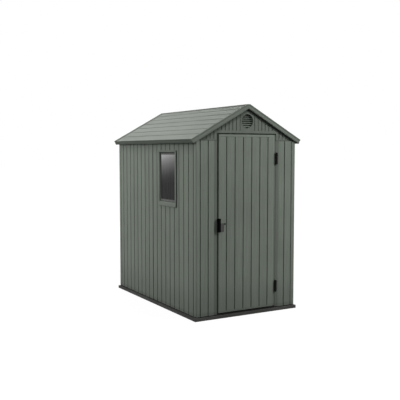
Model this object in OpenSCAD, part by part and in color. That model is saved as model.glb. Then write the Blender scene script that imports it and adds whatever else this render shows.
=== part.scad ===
// Resin garden shed with a gable roof, one hinged door and one fixed window.
// Millimetres. +X is to the right along the front, +Y to the back, +Z up.
// The origin is on the ground, under the middle of the floor.

/* [Floor] */
// Width of the floor, left to right
base_w = 1188; // [1000:1:1600]
// Depth of the floor, front to back
base_d = 1852; // [1300:1:2600]
// Height of the floor deck above the ground
base_h = 37; // [30:1:60]
// Height of the low rim that runs round the outside of the floor
rim_h = 28; // [15:1:29]
// Width of the ledge that the rim leaves outside the walls
ledge = 18; // [8:1:30]
// How far the floor is set back under the wall faces above the rim
shadow_gap = 5; // [2:1:8]
// Corner radius of the floor
base_r = 10; // [4:1:25]
// Thickness of the deck over the pockets in the underside
deck_t = 8; // [5:1:12]
// Width of the ribs between the pockets
rib_w = 24; // [16:1:40]
// Number of pockets across the floor
pocket_cols = 4; // [2:2:8]
// Number of pocket rows in each half of the floor
pocket_rows = 4; // [2:1:7]
// Corner radius of the pockets
pocket_r = 12; // [4:1:20]
// Spacing of the tread grooves in the deck
tread = 64; // [40:1:120]
// Width of the tread grooves
tread_w = 6; // [3:0.5:12]
// Depth of the tread grooves
tread_d = 2; // [1:0.5:3]

/* [Walls] */
// Height of the wall tops above the ground
wall_top = 1703; // [1400:1:2100]
// Thickness of the wall panels
wall_t = 18; // [17:1:30]
// Width of the moulded boards on the side walls
side_board = 96.7; // [60:0.1:140]
// Width of the boards on the front wall beside the door
front_board = 86; // [50:1:140]
// Width of the boards on the rear wall
rear_board = 96; // [60:1:140]
// Narrowest strip of board left at the end of a panel
min_strip = 30; // [20:1:60]
// Width of the groove between two boards
groove_w = 10; // [6:0.5:18]
// Depth of the groove between two boards
groove_d = 7; // [3:0.5:7]
// Depth of the groove on the inner face of a panel
inner_groove_d = 3; // [1:0.5:3]
// Depth of the groove where two side panels meet
seam_d = 8; // [4:0.5:8]
// Thickness of the tongues along the panels' ends
tongue_t = 3.5; // [2:0.5:4]
// Length of the tongues
tongue_l = 8; // [4:1:10]
// Gap between a tongue and its slot
tongue_fit = 0.3; // [0.2:0.1:0.5]
// Distance of the side panels' seam behind the middle of the shed
seam_y = 9; // [-200:1:200]
// Width of the corner posts on the front and rear faces
post_front = 47; // [36:1:90]
// Width of the corner posts on the side faces
post_side = 51; // [36:1:90]
// Radius of the posts' outer corner
post_r = 8; // [3:1:16]

/* [Roof] */
// Slope of the roof in degrees
roof_pitch = 28.8; // [23:0.1:36]
// Thickness of the roof panels
roof_t = 24; // [16:1:36]
// Overhang of the roof past the side walls
eave_over = 50; // [30:1:120]
// Overhang of the roof past the front and rear walls
verge_over = 18; // [12:1:60]
// Height of the eave rails at their outer edge
rail_rise = 9.5; // [8:0.5:40]
// Width of the eave rails
rail_w = 40; // [24:1:70]
// Width of the roof boards, measured up the slope
roof_board = 100.4; // [60:0.1:140]
// Width of the lowest roof board
roof_first = 114; // [60:1:140]
// How far the barge boards and the ridge stand up from the roof panels
verge_rise = 6; // [3:0.5:12]
// Depth of the barge boards, square to the slope
barge_d = 47; // [36:1:90]
// Thickness of the fascias
fascia_t = 12; // [8:1:20]
// Depth of the upper band of the barge boards
band_d = 21; // [14:1:28]
// How far the foot of the upper band is set back
band_set = 5; // [2:1:8]
// Size of the small bevels along the fascias and barge boards
trim_bevel = 4; // [1:0.5:4]
// Gap between the roof panels and the pieces that they meet
roof_fit = 0.2; // [0.1:0.1:0.5]
// Half width of the ridge cap's key, between the roof panels
ridge_key = 14; // [8:1:20]
// Half width of the flat along the top of the ridge
cap_flat = 17; // [10:1:20]
// Width of each wing of the ridge cap, measured down the slope
cap_wing = 32; // [26:1:50]
// Thickness of the ridge cap's wings
wing_t = 2; // [1:0.5:3]
// Width of the ridge beam
beam_w = 40; // [24:1:60]
// Depth of the ridge beam at its middle
beam_d = 50; // [36:1:90]

/* [Gables] */
// How far the gable panels are set back from the wall faces
gable_set = 8; // [2:1:10]
// Width of the gable boards
gable_board = 42; // [30:1:80]
// Width of the grooves in the gable panels
gable_groove_w = 9; // [5:0.5:14]
// Depth of the grooves in the gable panels
gable_groove_d = 4.5; // [2:0.5:8]
// Width of the rebate for the seal along the slopes of a gable
seal_w = 24; // [18:1:34]
// Depth of the rebate for the seal
seal_d = 8; // [4:1:10]
// Height of the plain rail along the foot of a gable
foot_rail = 16; // [8:1:40]
// Size of the shadow line along the foot of a gable
foot_line = 4; // [2:0.5:6]
// Height of the plain rail over the door
door_rail = 25; // [10:1:50]
// Radius of the hole for the round vent
vent_r = 70; // [50:1:78]
// Width of the rim round the vent
vent_rim = 3; // [2:1:8]
// How far the vent's rim stands out of the gable
vent_lip = 2; // [1:0.5:4]
// Depth of the vent sleeve behind the gable face
vent_depth = 31; // [24:1:50]
// Number of vent blades
vent_blades = 6; // [4:1:6]
// Spacing of the vent blades
blade_pitch = 19.8; // [14:0.2:21]
// Width of the vent blades, from edge to edge
blade_w = 21; // [14:1:24]
// Tilt of the vent blades from the horizontal
blade_tilt = 40; // [25:1:60]
// Thickness of the vent's sleeve and blades
vent_wall = 3; // [2:0.5:5]
// Gap between the vent's sleeve and its hole
vent_fit = 0.3; // [0.2:0.1:1]

/* [Door] */
// Width of the doorway between the jambs
doorway_w = 684; // [560:1:760]
// How far the door rises above the wall tops
door_rise = 60; // [20:1:80]
// Thickness of the door leaf
door_t = 20; // [16:1:30]
// Width of the boards on the door, laid out from its middle
door_board = 96; // [60:1:120]
// Gap at the closing edge of the door
gap_side = 12; // [6:1:14]
// Gap at the hinge edge of the door
gap_hinge = 8; // [8:1:16]
// Gap above and below the door
gap_end = 12; // [8:1:20]
// Gap between the closed door and its stops
stop_gap = 6; // [5:1:10]
// Width of the jambs
jamb_w = 37; // [25:1:60]
// How far the jambs are set back from the wall faces
jamb_set = 7; // [2:1:9]
// Thickness of the door stops
stop_t = 10; // [8:1:20]
// How far the stops stand into the doorway
stop_lip = 22; // [16:1:40]
// Width of the lowered strip along the hinge edge of the door
hinge_strip = 18; // [12:1:40]
// Width of the slope from the door's face down to the lowered strip
strip_slope = 16; // [4:1:24]
// Distance of the line under the door's top rail from its top edge
top_rail = 25; // [15:1:60]
// Depth of the line under the door's top rail
rail_line = 3; // [1:0.5:6]

/* [Hinges] */
// Length of each hinge
hinge_len = 112; // [70:1:160]
// Radius of the hinge knuckles
knuckle_r = 11; // [8:0.5:11]
// Radius of the hinge pin
pin_r = 4; // [3:0.5:6]
// Gap between the hinge pin and its bore
pin_fit = 0.06; // [0.02:0.01:0.1]
// Distance of the upper hinge's middle below the top of the door
hinge_drop = 232; // [100:1:500]
// Distance of the lower hinge's middle above the foot of the door
hinge_rise = 202; // [100:1:500]
// Thickness of the hinge plates
plate_t = 3; // [2:0.5:4]
// Gap between the hinge knuckles and the lowered faces behind them
knuckle_back = 1; // [0.5:0.5:3]
// Distance of the hinge axis from the middle of the gap, towards the jamb
axis_side = 4; // [0:1:4]

/* [Handle] */
// Width of the handle
handle_w = 26; // [18:1:36]
// Height of the handle
handle_h = 132; // [90:1:180]
// How far the handle stands out from the door
handle_out = 27; // [20:1:45]
// Distance of the handle's middle above the foot of the door
handle_rise = 850; // [700:1:1100]
// Overhang of the handle past the edge of the door
handle_past = 14; // [0:1:14]
// Width of the lock plate beside the handle
lock_w = 50; // [40:1:60]
// Height of the lock plate
lock_h = 84; // [50:1:110]
// Thickness of the lock plate
lock_t = 3; // [2:0.5:5]
// Radius of the key cylinder
key_r = 8; // [6:0.5:9]

/* [Window] */
// Width of the window frame
win_w = 350; // [260:1:480]
// Height of the window frame
win_h = 506; // [300:1:560]
// Distance of the window frame's top below the wall tops
win_drop = 107; // [60:1:400]
// Distance of the window's middle in front of the side panels' seam
win_from_seam = 343; // [290:1:420]
// Width of the window frame's bars
win_bar = 20; // [14:1:40]
// How far the window frame stands out from the wall
frame_out = 1; // [0.5:0.5:3]
// Size of the bevel along the inner edges of the window frame
win_bevel = 2.5; // [1:0.5:4]
// How far the moulded surround stands out from the wall
surround_out = 12; // [4:1:20]
// Width of the surround at the sides
surround_side = 10; // [6:1:24]
// Width of the surround above the window
surround_top = 14; // [6:1:30]
// Width of the sill part of the surround
surround_sill = 40; // [10:1:60]
// How far each side of the surround leans in over its height
surround_lean = 1.5; // [0.5:0.5:4]
// Thickness of the pane
pane_t = 4; // [2:0.5:6]
// How far the pane is set back behind the wall face
pane_set = 4; // [2:0.5:8]

/* [Colours] */
// Colour of the walls, door and roof
wall_col = "#6B7269";
// Colour of the floor
floor_col = "#3E403E";
// Colour of the handle, lock and hinges
black_col = "#151515";
// Colour of the window frame
frame_col = "#3B3C3B";
// Colour of the pane
pane_col = "#8A9296";
// Colour of the ridge beam
beam_col = "#8E9496";

/* [Hidden] */
$fn = 48;
// Enough to pass right through a piece in a cut
over = 1;
// Steps across one groove
groove_steps = 6;

// Outer faces of the walls
wall_x = base_w / 2 - ledge;
wall_y = base_d / 2 - ledge;
wall_h = wall_top - base_h;
// Outer edges of the roof
roof_x = wall_x + eave_over;
roof_y = wall_y + verge_over;
// Heights of the roof's lower and upper surfaces
function roof_under(x) = wall_top + rail_rise + (wall_x - abs(x)) * tan(roof_pitch);
function roof_upper(x) = roof_under(x) + roof_t / cos(roof_pitch);
// Height of the pieces that carry the roof panels
function roof_seat(x) = roof_under(x) - roof_fit;
// Top of the barge boards, and the flat top of the ridge
function verge_top(x) = roof_upper(x) + verge_rise / cos(roof_pitch);
cap_z = verge_top(cap_flat);
ridge_z = roof_upper(0);
eave_z = roof_upper(roof_x);
slope_len = roof_x / cos(roof_pitch);
gable_y = wall_y - gable_set;
// Door leaf between the jambs
leaf_left = -doorway_w / 2 + gap_side;
leaf_right = doorway_w / 2 - gap_hinge;
leaf_bottom = base_h + gap_end;
leaf_top = wall_top + door_rise;
notch_z = leaf_top + gap_end;
// Fronts of the door's stops, behind the leaf and the gable
stop_y = min(wall_y - door_t - stop_gap, gable_y - wall_t);
handle_z = leaf_bottom + handle_rise;
hinge_hi = leaf_top - hinge_drop;
hinge_lo = leaf_bottom + hinge_rise;
// Hinge axis, beside the gap at the hinge edge
axis_x = doorway_w / 2 - gap_hinge / 2 + axis_side;
axis_y = -wall_y + jamb_set - knuckle_back - knuckle_r;
// Round vent, as far from the roof slopes as from the door's head
vent_z = (roof_under(0) * cos(roof_pitch) + notch_z) / (1 + cos(roof_pitch));
// Window
win_y = seam_y - win_from_seam;
win_z = wall_top - win_drop - win_h;

// Points of a U-shaped groove round u, from its start to its end as shares of its width
function groove(u, w, d, from = 0, to = 1) = [
    for (k = [round(from * groove_steps) : round(to * groove_steps)])
        [u + w * (k / groove_steps - 0.5), d * (1 - pow(2 * k / groove_steps - 1, 4))]
];
// Distances of the grooves along a panel
function stops(len, board) = [for (u = [board : board : len - min_strip]) u];
function join(lists) = [for (l = lists) for (p = l) p];
// Outline of one face of a panel, with half grooves of depths d0 and d1 at its ends
function face_line(len, list, d, d0, d1) = concat(
    groove(0, groove_w, d0, 0.5, 1),
    join([for (u = list) groove(u, groove_w, d)]),
    d1 == 0 ? [[len, 0]] : groove(len, groove_w, d1, 0, 0.5)
);
// Depth of the tongues' middle, between the deepest groove and the inner grooves
tongue_y = (seam_d + wall_t - inner_groove_d) / 2;
// End of a panel at u, facing the way of side: a tongue, or the slot that takes one
function tongue(u, side) = [
    [u, tongue_y - tongue_t / 2], [u + side * tongue_l, tongue_y - tongue_t / 2],
    [u + side * tongue_l, tongue_y + tongue_t / 2], [u, tongue_y + tongue_t / 2]
];
function slot(u, side) = let (half = tongue_t / 2 + tongue_fit, deep = tongue_l + tongue_fit) [
    [u, tongue_y - half], [u - side * deep, tongue_y - half],
    [u - side * deep, tongue_y + half], [u, tongue_y + half]
];
function reversed(list) = [for (i = [len(list) - 1 : -1 : 0]) list[i]];

// Wall panel in plan: outer face on the X axis, thickness towards +Y, with a tongue at
// its far end and a tongue or a slot at its start
module panel_plan(length, list, start_slot, d0, d1) {
    outer = face_line(length, list, groove_d, d0, d1);
    inner = [
        for (p = face_line(length, list, inner_groove_d, inner_groove_d, inner_groove_d))
            [p[0], wall_t - p[1]]
    ];
    start = start_slot ? slot(0, -1) : tongue(0, -1);
    polygon(concat(outer, tongue(length, 1), reversed(inner), reversed(start)));
}

module wall_panel(length, list, start_slot = false, d0 = groove_d, d1 = groove_d) {
    linear_extrude(wall_h) panel_plan(length, list, start_slot, d0, d1);
}

// Rectangle with rounded corners, its middle at the origin
module round_rect(w, h, r) {
    square([w - 2 * r, h], center = true);
    square([w, h - 2 * r], center = true);
    for (x = [-1, 1], y = [-1, 1]) translate([x * (w / 2 - r), y * (h / 2 - r)]) circle(r);
}

// Rectangular block whose four sides lean inwards over its height
module frustum(w0, h0, w1, h1, t) {
    intersection() {
        rotate([90, 0, 0]) linear_extrude(max(h0, h1), center = true)
            polygon([[-w0 / 2, 0], [w0 / 2, 0], [w1 / 2, t], [-w1 / 2, t]]);
        rotate([90, 0, 90]) linear_extrude(max(w0, w1), center = true)
            polygon([[-h0 / 2, 0], [h0 / 2, 0], [h1 / 2, t], [-h1 / 2, t]]);
    }
}

// Extrudes a profile drawn in X and Z along Y, from y0 to y1
module along_y(y0, y1) {
    translate([0, y1, 0]) rotate([90, 0, 0]) linear_extrude(y1 - y0) children();
}

// Points on the left roof slope, each given by its distance up the slope and out of it
function on_slope(list) = [
    for (p = list) [
        -roof_x + p[0] * cos(roof_pitch) - p[1] * sin(roof_pitch),
        eave_z + p[0] * sin(roof_pitch) + p[1] * cos(roof_pitch)
    ]
];

// ---- Floor ----
module floor_outline(inset) {
    round_rect(base_w - 2 * inset, base_d - 2 * inset, base_r);
}

// Length of one pocket where count of them, with ribs on both sides, share a length
function pocket_len(length, count) = (length - rib_w) / count - rib_w;

// Pockets in the underside of one half of the floor, from y0 to y1
module pockets(y0, y1) {
    w = pocket_len(2 * wall_x, pocket_cols);
    d = pocket_len(y1 - y0, pocket_rows);
    for (col = [0 : pocket_cols - 1], row = [0 : pocket_rows - 1])
        translate([-wall_x + rib_w + w / 2 + col * (w + rib_w),
                y0 + rib_w + d / 2 + row * (d + rib_w), -over])
            linear_extrude(base_h - deck_t + over) round_rect(w, d, pocket_r);
}

// Tread grooves across the deck, clear of the walls and of the seam
module treads(y0, y1) {
    inside = wall_x - wall_t - tread / 2;
    count = floor((y1 - y0 - tread) / tread);
    first = (y0 + y1 - (count - 1) * tread) / 2;
    for (i = [0 : count - 1])
        translate([-inside, first + i * tread - tread_w / 2, base_h - tread_d])
            cube([2 * inside, tread_w, tread_d + over]);
}

module floor_part(y0, y1) {
    color(floor_col) difference() {
        intersection() {
            union() {
                linear_extrude(rim_h) floor_outline(0);
                linear_extrude(base_h) floor_outline(ledge + shadow_gap);
            }
            translate([-base_w, y0, -over]) cube([2 * base_w, y1 - y0, base_h + 2 * over]);
        }
        pockets(max(y0, -wall_y), min(y1, wall_y));
        treads(max(y0, -stop_y + stop_t), min(y1, wall_y - wall_t));
    }
}

module floor_front() { floor_part(-base_d / 2, seam_y); }
module floor_rear() { floor_part(seam_y, base_d / 2); }

// ---- Corner posts ----
// Front left post in plan, its outer corner at the origin, with a slot in each end
module post_plan() {
    side_end = concat(
        groove(post_side, groove_w, groove_d, 0, 0.5), slot(post_side, 1), [[post_side, wall_t]]
    );
    front_end = concat(
        groove(post_front, groove_w, groove_d, 0, 0.5), slot(post_front, 1), [[post_front, wall_t]]
    );
    difference() {
        polygon(concat([[0, 0]], front_end, [[wall_t, wall_t]],
            reversed([for (p = side_end) [p[1], p[0]]])));
        difference() {
            translate([-over, -over]) square(post_r + over);
            translate([post_r, post_r]) circle(post_r);
        }
    }
}

module corner_post() {
    color(wall_col) translate([-wall_x, -wall_y, base_h]) linear_extrude(wall_h) post_plan();
}

module corner_front_left() { corner_post(); }
module corner_front_right() { mirror([1, 0, 0]) corner_post(); }
module corner_rear_left() { mirror([0, 1, 0]) corner_post(); }
module corner_rear_right() { mirror([1, 0, 0]) mirror([0, 1, 0]) corner_post(); }

// ---- Side walls ----
// Panels of the left wall run forwards or backwards from the seam, where the front one's
// tongue lies in the rear one's slot
module side_front() {
    length = wall_y + seam_y - post_side;
    translate([-wall_x, seam_y, base_h]) rotate(-90)
        wall_panel(length, stops(length, side_board), d0 = seam_d);
}

module side_rear() {
    length = wall_y - seam_y - post_side;
    translate([-wall_x, seam_y, base_h]) rotate(-90) mirror([1, 0, 0])
        wall_panel(length, stops(length, side_board), start_slot = true, d0 = seam_d);
}

// Turns a block built on the XY plane to stand on the left wall, at its window
module at_window(out) {
    translate([-wall_x + out, win_y, win_z + win_h / 2]) rotate([90, 0, -90]) children();
}

module surround() {
    w = win_w + 2 * surround_side;
    h = win_h + surround_top + surround_sill;
    at_window(wall_t)
        translate([0, (surround_top - surround_sill) / 2, 0]) {
            linear_extrude(wall_t) square([w, h], center = true);
            translate([0, 0, wall_t])
                frustum(w, h, w - 2 * surround_lean, h - 2 * surround_lean, surround_out);
        }
}

module wall_left_front() {
    color(wall_col) difference() {
        union() {
            side_front();
            surround();
        }
        at_window(wall_t + over)
            linear_extrude(wall_t + surround_out + 3 * over) square([win_w, win_h], center = true);
    }
}

module wall_left_rear() { color(wall_col) side_rear(); }
module wall_right_front() { color(wall_col) mirror([1, 0, 0]) side_front(); }
module wall_right_rear() { color(wall_col) mirror([1, 0, 0]) side_rear(); }

// ---- Rear wall ----
// Left panel of the rear wall, from the middle to the corner post
module rear_panel(start_slot) {
    length = wall_x - post_front;
    color(wall_col) translate([0, wall_y, base_h]) rotate(180)
        wall_panel(length, stops(length, rear_board), start_slot);
}

module wall_rear_left() { rear_panel(false); }
module wall_rear_right() { mirror([1, 0, 0]) rear_panel(true); }

// ---- Front wall and doorway ----
module wall_front_left() {
    length = wall_x - post_front - doorway_w / 2 - jamb_w;
    color(wall_col) translate([-wall_x + post_front, -wall_y, base_h])
        wall_panel(length, stops(length, front_board), d1 = 0);
}
module wall_front_right() { mirror([1, 0, 0]) wall_front_left(); }

// Jamb, with a slot for the front panel's tongue
module jamb_left() {
    outline = concat([[jamb_w, jamb_set], [0, jamb_set]], slot(0, -1),
        [[0, wall_y - stop_y], [jamb_w, wall_y - stop_y]]);
    color(wall_col) translate([-doorway_w / 2 - jamb_w, -wall_y, base_h])
        linear_extrude(wall_h) polygon(outline);
}
module jamb_right() { mirror([1, 0, 0]) jamb_left(); }

// Two upright stops behind the jambs, up to the head
module door_stops() {
    color(wall_col) for (side = [0, 1]) mirror([side, 0, 0])
        translate([-doorway_w / 2 - jamb_w, -stop_y, base_h])
            cube([jamb_w + stop_lip, stop_t, leaf_top - stop_t - base_h]);
}

// Head of the doorway: a stop behind the leaf, and above it a rail fixed to the gable
module door_head() {
    half = doorway_w / 2 + jamb_w;
    back = -stop_y + stop_t;
    z0 = leaf_top - stop_t;
    color(wall_col) translate([-half, 0, 0]) rotate([90, 0, 90]) linear_extrude(2 * half)
        polygon([[-stop_y, z0], [back, z0], [back, notch_z + door_rail],
            [-gable_y + wall_t, notch_z + door_rail], [-gable_y + wall_t, notch_z],
            [-stop_y, notch_z]]);
}

// Low sill behind the foot of the door, between the stops
module threshold() {
    half = doorway_w / 2 - stop_lip;
    y0 = -stop_y;
    z0 = base_h;
    z1 = leaf_bottom + stop_t;
    color(floor_col) translate([-half, 0, 0]) rotate([90, 0, 90]) linear_extrude(2 * half)
        polygon([[y0, z0], [y0, z1], [y0 + stop_t, z1], [y0 + 2.5 * stop_t, z0]]);
}

// ---- Gables ----
module gable_outline(notched) {
    half = doorway_w / 2;
    foot = notched
        ? [[-wall_x, wall_top], [-half, wall_top], [-half, notch_z],
           [half, notch_z], [half, wall_top], [wall_x, wall_top]]
        : [[-wall_x, wall_top], [wall_x, wall_top]];
    polygon(concat(foot, [[wall_x, roof_seat(wall_x)], [0, roof_seat(0)],
        [-wall_x, roof_seat(wall_x)]]));
}

function gable_foot(x, notched) =
    notched && abs(x) < doorway_w / 2 ? notch_z + door_rail : wall_top + foot_rail;

// Rebates in a gable's face: along the slopes for the seal, and the line along its foot
module gable_rebates() {
    out = wall_x + over;
    low = roof_under(0) - seal_w / cos(roof_pitch);
    drop = out * tan(roof_pitch);
    along_y(-gable_y - over, -gable_y + seal_d)
        polygon([[-out, low - drop], [0, low], [out, low - drop], [out, ridge_z], [-out, ridge_z]]);
    translate([-out, -gable_y - over, wall_top - over])
        cube([2 * out, foot_line + over, foot_line + over]);
}

// Gable panel, its face on the plane of the gable and its back towards +Y
module gable_panel(notched) {
    grooves = [
        for (i = [2 : floor(wall_x / gable_board)], side = [-1, 1])
            if (roof_under(i * gable_board) - gable_foot(i * gable_board, notched) > foot_rail)
                side * i * gable_board
    ];
    color(wall_col) difference() {
        along_y(-gable_y, -gable_y + wall_t) gable_outline(notched);
        gable_rebates();
        for (x = grooves)
            translate([x, -gable_y, gable_foot(x, notched)])
                linear_extrude(ridge_z - gable_foot(x, notched))
                    polygon(concat(groove(0, gable_groove_w, gable_groove_d),
                        [[gable_groove_w / 2, -over], [-gable_groove_w / 2, -over]]));
        translate([0, -gable_y - over, vent_z]) rotate([-90, 0, 0])
            cylinder(r = vent_r, h = wall_t + 2 * over);
    }
}

module gable_front() { gable_panel(true); }
module gable_rear() { mirror([0, 1, 0]) gable_panel(false); }

// Round vent: a sleeve with a low rim, and blades at its back that slope down outwards
module vent() {
    sleeve_r = vent_r - vent_fit;
    bore_r = sleeve_r - vent_wall;
    color(wall_col) translate([0, -gable_y, vent_z]) rotate([-90, 0, 0]) {
        difference() {
            union() {
                cylinder(r = sleeve_r, h = vent_depth);
                translate([0, 0, -vent_lip]) cylinder(r = vent_r + vent_rim, h = vent_lip);
            }
            translate([0, 0, -vent_lip - over])
                cylinder(r = bore_r, h = vent_depth + vent_lip + 2 * over);
        }
        intersection() {
            cylinder(r = bore_r + vent_wall / 2, h = vent_depth);
            for (i = [0 : vent_blades - 1])
                translate([0, (i - (vent_blades - 1) / 2) * blade_pitch, vent_depth - blade_w / 2])
                    rotate([blade_tilt - 90, 0, 0])
                        cube([2 * vent_r, blade_w, vent_wall], center = true);
        }
    }
}

module vent_front() { vent(); }
module vent_rear() { mirror([0, 1, 0]) vent(); }

// ---- Roof ----
module eave_rail_left() {
    inner = wall_x - rail_w;
    color(wall_col) along_y(-gable_y + wall_t, gable_y - wall_t)
        polygon([[-wall_x, wall_top], [-inner, wall_top], [-inner, roof_seat(inner)],
            [-wall_x, roof_seat(wall_x)]]);
}
module eave_rail_right() { mirror([1, 0, 0]) eave_rail_left(); }

// Grooved roof panel, from the back of the fascia up to the ridge cap's key
module roof_left() {
    foot = fascia_t + roof_fit;
    top = (roof_x - ridge_key - roof_fit) / cos(roof_pitch);
    bottom = top - roof_t * tan(roof_pitch);
    lines = [for (s = [roof_first : roof_board : slope_len - cap_wing - min_strip]) s];
    face = join([for (s = lines) [for (p = groove(s, groove_w, groove_d)) [p[0], -p[1]]]]);
    color(wall_col) along_y(-wall_y, wall_y)
        polygon(on_slope(concat([[foot, 0]], face,
            [[top, 0], [bottom, -roof_t], [foot, -roof_t]])));
}
module roof_right() { mirror([1, 0, 0]) roof_left(); }

// Ridge cap: a flat bar with a thin wing on each roof panel, and a key between the panels
module ridge_cap() {
    edge = cap_wing * cos(roof_pitch);
    right = [[cap_flat, cap_z], [cap_flat, roof_upper(cap_flat) + wing_t / cos(roof_pitch)],
        [edge + wing_t * sin(roof_pitch), roof_upper(edge) + wing_t * cos(roof_pitch)],
        [edge, roof_upper(edge) + roof_fit], [ridge_key, roof_upper(ridge_key) + roof_fit],
        [ridge_key, roof_under(ridge_key)]];
    left = [for (p = reversed(right)) [-p[0], p[1]]];
    color(wall_col) along_y(-wall_y, wall_y)
        polygon(concat(right, [[0, roof_under(0)]], left));
}

// Steel ridge beam under the panels, from gable to gable
module ridge_beam() {
    half = beam_w / 2;
    low = roof_seat(0) - beam_d;
    color(beam_col) along_y(-gable_y + wall_t, gable_y - wall_t)
        polygon([[-half, low], [half, low], [half, roof_seat(half)], [0, roof_seat(0)],
            [-half, roof_seat(half)]]);
}

// Lower edges of the trim and of its upper band, out of the slope from the roof panels
trim_foot = verge_rise - barge_d;
band_foot = verge_rise - band_d;

// Fascia, its upper band set back by one bevel
module fascia_left() {
    b = trim_bevel;
    color(wall_col) along_y(-wall_y, wall_y)
        polygon(on_slope([[b, 0], [fascia_t, 0], [fascia_t, trim_foot], [b, trim_foot],
            [0, trim_foot + b], [0, band_foot - b], [b, band_foot]]));
}
module fascia_right() { mirror([1, 0, 0]) fascia_left(); }

// Barge board: its upper band leans in towards its foot, over a bevelled lower band.
// It ends in a mitre at the ridge, where its top is cut flat
module barge_front_left() {
    y0 = -roof_y;
    color(wall_col) difference() {
        translate([-roof_x, 0, eave_z]) rotate([0, -roof_pitch, 0]) rotate([90, 0, 90])
            linear_extrude(slope_len + barge_d)
                polygon([[y0, verge_rise], [-wall_y, verge_rise], [-wall_y, trim_foot],
                    [y0 + trim_bevel, trim_foot], [y0, trim_foot + trim_bevel],
                    [y0, band_foot - band_set], [y0 + band_set, band_foot]]);
        translate([0, -2 * roof_y, 0]) cube([roof_x, 2 * roof_y, 2 * ridge_z]);
        translate([-roof_x, -2 * roof_y, cap_z]) cube([2 * roof_x, 2 * roof_y, ridge_z]);
    }
}
module barge_front_right() { mirror([1, 0, 0]) barge_front_left(); }
module barge_rear_left() { mirror([0, 1, 0]) barge_front_left(); }
module barge_rear_right() { mirror([1, 0, 0]) mirror([0, 1, 0]) barge_front_left(); }

// ---- Window ----
module window_frame() {
    depth = wall_t + frame_out;
    w = win_w - 2 * win_bar;
    h = win_h - 2 * win_bar;
    color(frame_col) at_window(wall_t) difference() {
        linear_extrude(depth) square([win_w, win_h], center = true);
        translate([0, 0, -over]) linear_extrude(depth + 2 * over) square([w, h], center = true);
        translate([0, 0, depth - win_bevel])
            frustum(w, h, w + 4 * win_bevel, h + 4 * win_bevel, 2 * win_bevel);
    }
}

module window_pane() {
    color(pane_col) at_window(wall_t) translate([0, 0, wall_t - pane_set - pane_t])
        linear_extrude(pane_t) square([win_w - 2 * win_bar, win_h - 2 * win_bar], center = true);
}

// ---- Door ----
// Door leaf in plan: grooved outer face, a lowered strip along the hinge edge
module leaf_plan(grooved) {
    y0 = -wall_y;
    y1 = -wall_y + door_t;
    bevel = 4;
    strip_x = leaf_right - hinge_strip;
    half = [for (x = [door_board / 2 : door_board : strip_x - strip_slope - min_strip]) x];
    xs = concat([for (x = reversed(half)) -x], half);
    outer = grooved
        ? join([for (x = xs) [for (p = groove(x, groove_w, groove_d)) [p[0], y0 + p[1]]]]) : [];
    inner = grooved
        ? join([for (x = xs) [for (p = groove(x, groove_w, inner_groove_d)) [p[0], y1 - p[1]]]])
        : [];
    polygon(concat(
        [[leaf_left, y0 + bevel], [leaf_left + bevel, y0]],
        outer,
        [[strip_x - strip_slope, y0], [strip_x, y0 + jamb_set], [leaf_right, y0 + jamb_set],
            [leaf_right, y1]],
        reversed(inner),
        [[leaf_left, y1]]
    ));
}

module door_leaf() {
    line_z = leaf_top - top_rail;
    color(wall_col) difference() {
        union() {
            translate([0, 0, leaf_bottom]) linear_extrude(foot_rail) leaf_plan(false);
            translate([0, 0, leaf_bottom + foot_rail])
                linear_extrude(line_z - leaf_bottom - foot_rail) leaf_plan(true);
            translate([0, 0, line_z]) linear_extrude(top_rail) leaf_plan(false);
        }
        translate([leaf_left - over, -wall_y, line_z]) rotate([90, 0, 90])
            linear_extrude(leaf_right - leaf_left + 2 * over)
                polygon([[-over, -rail_line], [0, -rail_line], [rail_line, 0],
                    [0, rail_line], [-over, rail_line]]);
    }
}

// Upright pull handle at the closing edge, undercut on its inner side
module door_handle() {
    x0 = leaf_left - handle_past;
    finger_r = 7;
    finger_end = 14;
    edge_r = 5;
    end_r = 10;
    color(black_col) difference() {
        intersection() {
            translate([x0 + handle_w / 2, -wall_y, handle_z]) rotate([90, 0, 0])
                linear_extrude(handle_out) round_rect(handle_w, handle_h, edge_r);
            translate([x0 - over, -wall_y, handle_z]) rotate([90, 0, 90])
                linear_extrude(handle_w + 2 * over)
                    round_rect(2 * handle_out, handle_h, end_r);
        }
        translate([x0 + handle_w, -wall_y - handle_out / 2, handle_z])
            cylinder(r = finger_r, h = handle_h - 2 * finger_end, center = true);
    }
}

// Plate beside the handle
module lock_plate() {
    x0 = leaf_left - handle_past + handle_w;
    corner_r = 6;
    color(frame_col)
        translate([x0 + lock_w / 2, -wall_y, handle_z - handle_h / 2 + lock_h / 2])
            rotate([90, 0, 0]) linear_extrude(lock_t) round_rect(lock_w, lock_h, corner_r);
}

// Key cylinder with a slot across its face
module key_cylinder() {
    out = 5;
    gap = 2;
    slot = [1.5, key_r];
    x0 = leaf_left - handle_past + handle_w + lock_w + key_r + gap;
    color(black_col) translate([x0, -wall_y, handle_z + key_r + gap]) rotate([90, 0, 0])
        difference() {
            cylinder(r = key_r, h = out);
            translate([0, 0, out / 2]) linear_extrude(out) square(slot, center = true);
        }
}

// ---- Hinges ----
// Half of a butt hinge about the pin: a plate in the gap and some of the three knuckles
knuckle_gap = 0.6;
knuckle_len = hinge_len / 3;

module knuckles(list) {
    for (i = list) translate([axis_x, axis_y, i * knuckle_len + knuckle_gap / 2])
        cylinder(r = knuckle_r, h = knuckle_len - knuckle_gap);
}

module knuckle_space(list) {
    for (i = list) translate([axis_x, axis_y, i * knuckle_len - knuckle_gap / 2])
        cylinder(r = knuckle_r + knuckle_gap, h = knuckle_len + knuckle_gap);
}

module hinge_plate(x) {
    translate([x, axis_y, 0]) cube([plate_t, door_t - wall_y - axis_y, hinge_len]);
}

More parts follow.
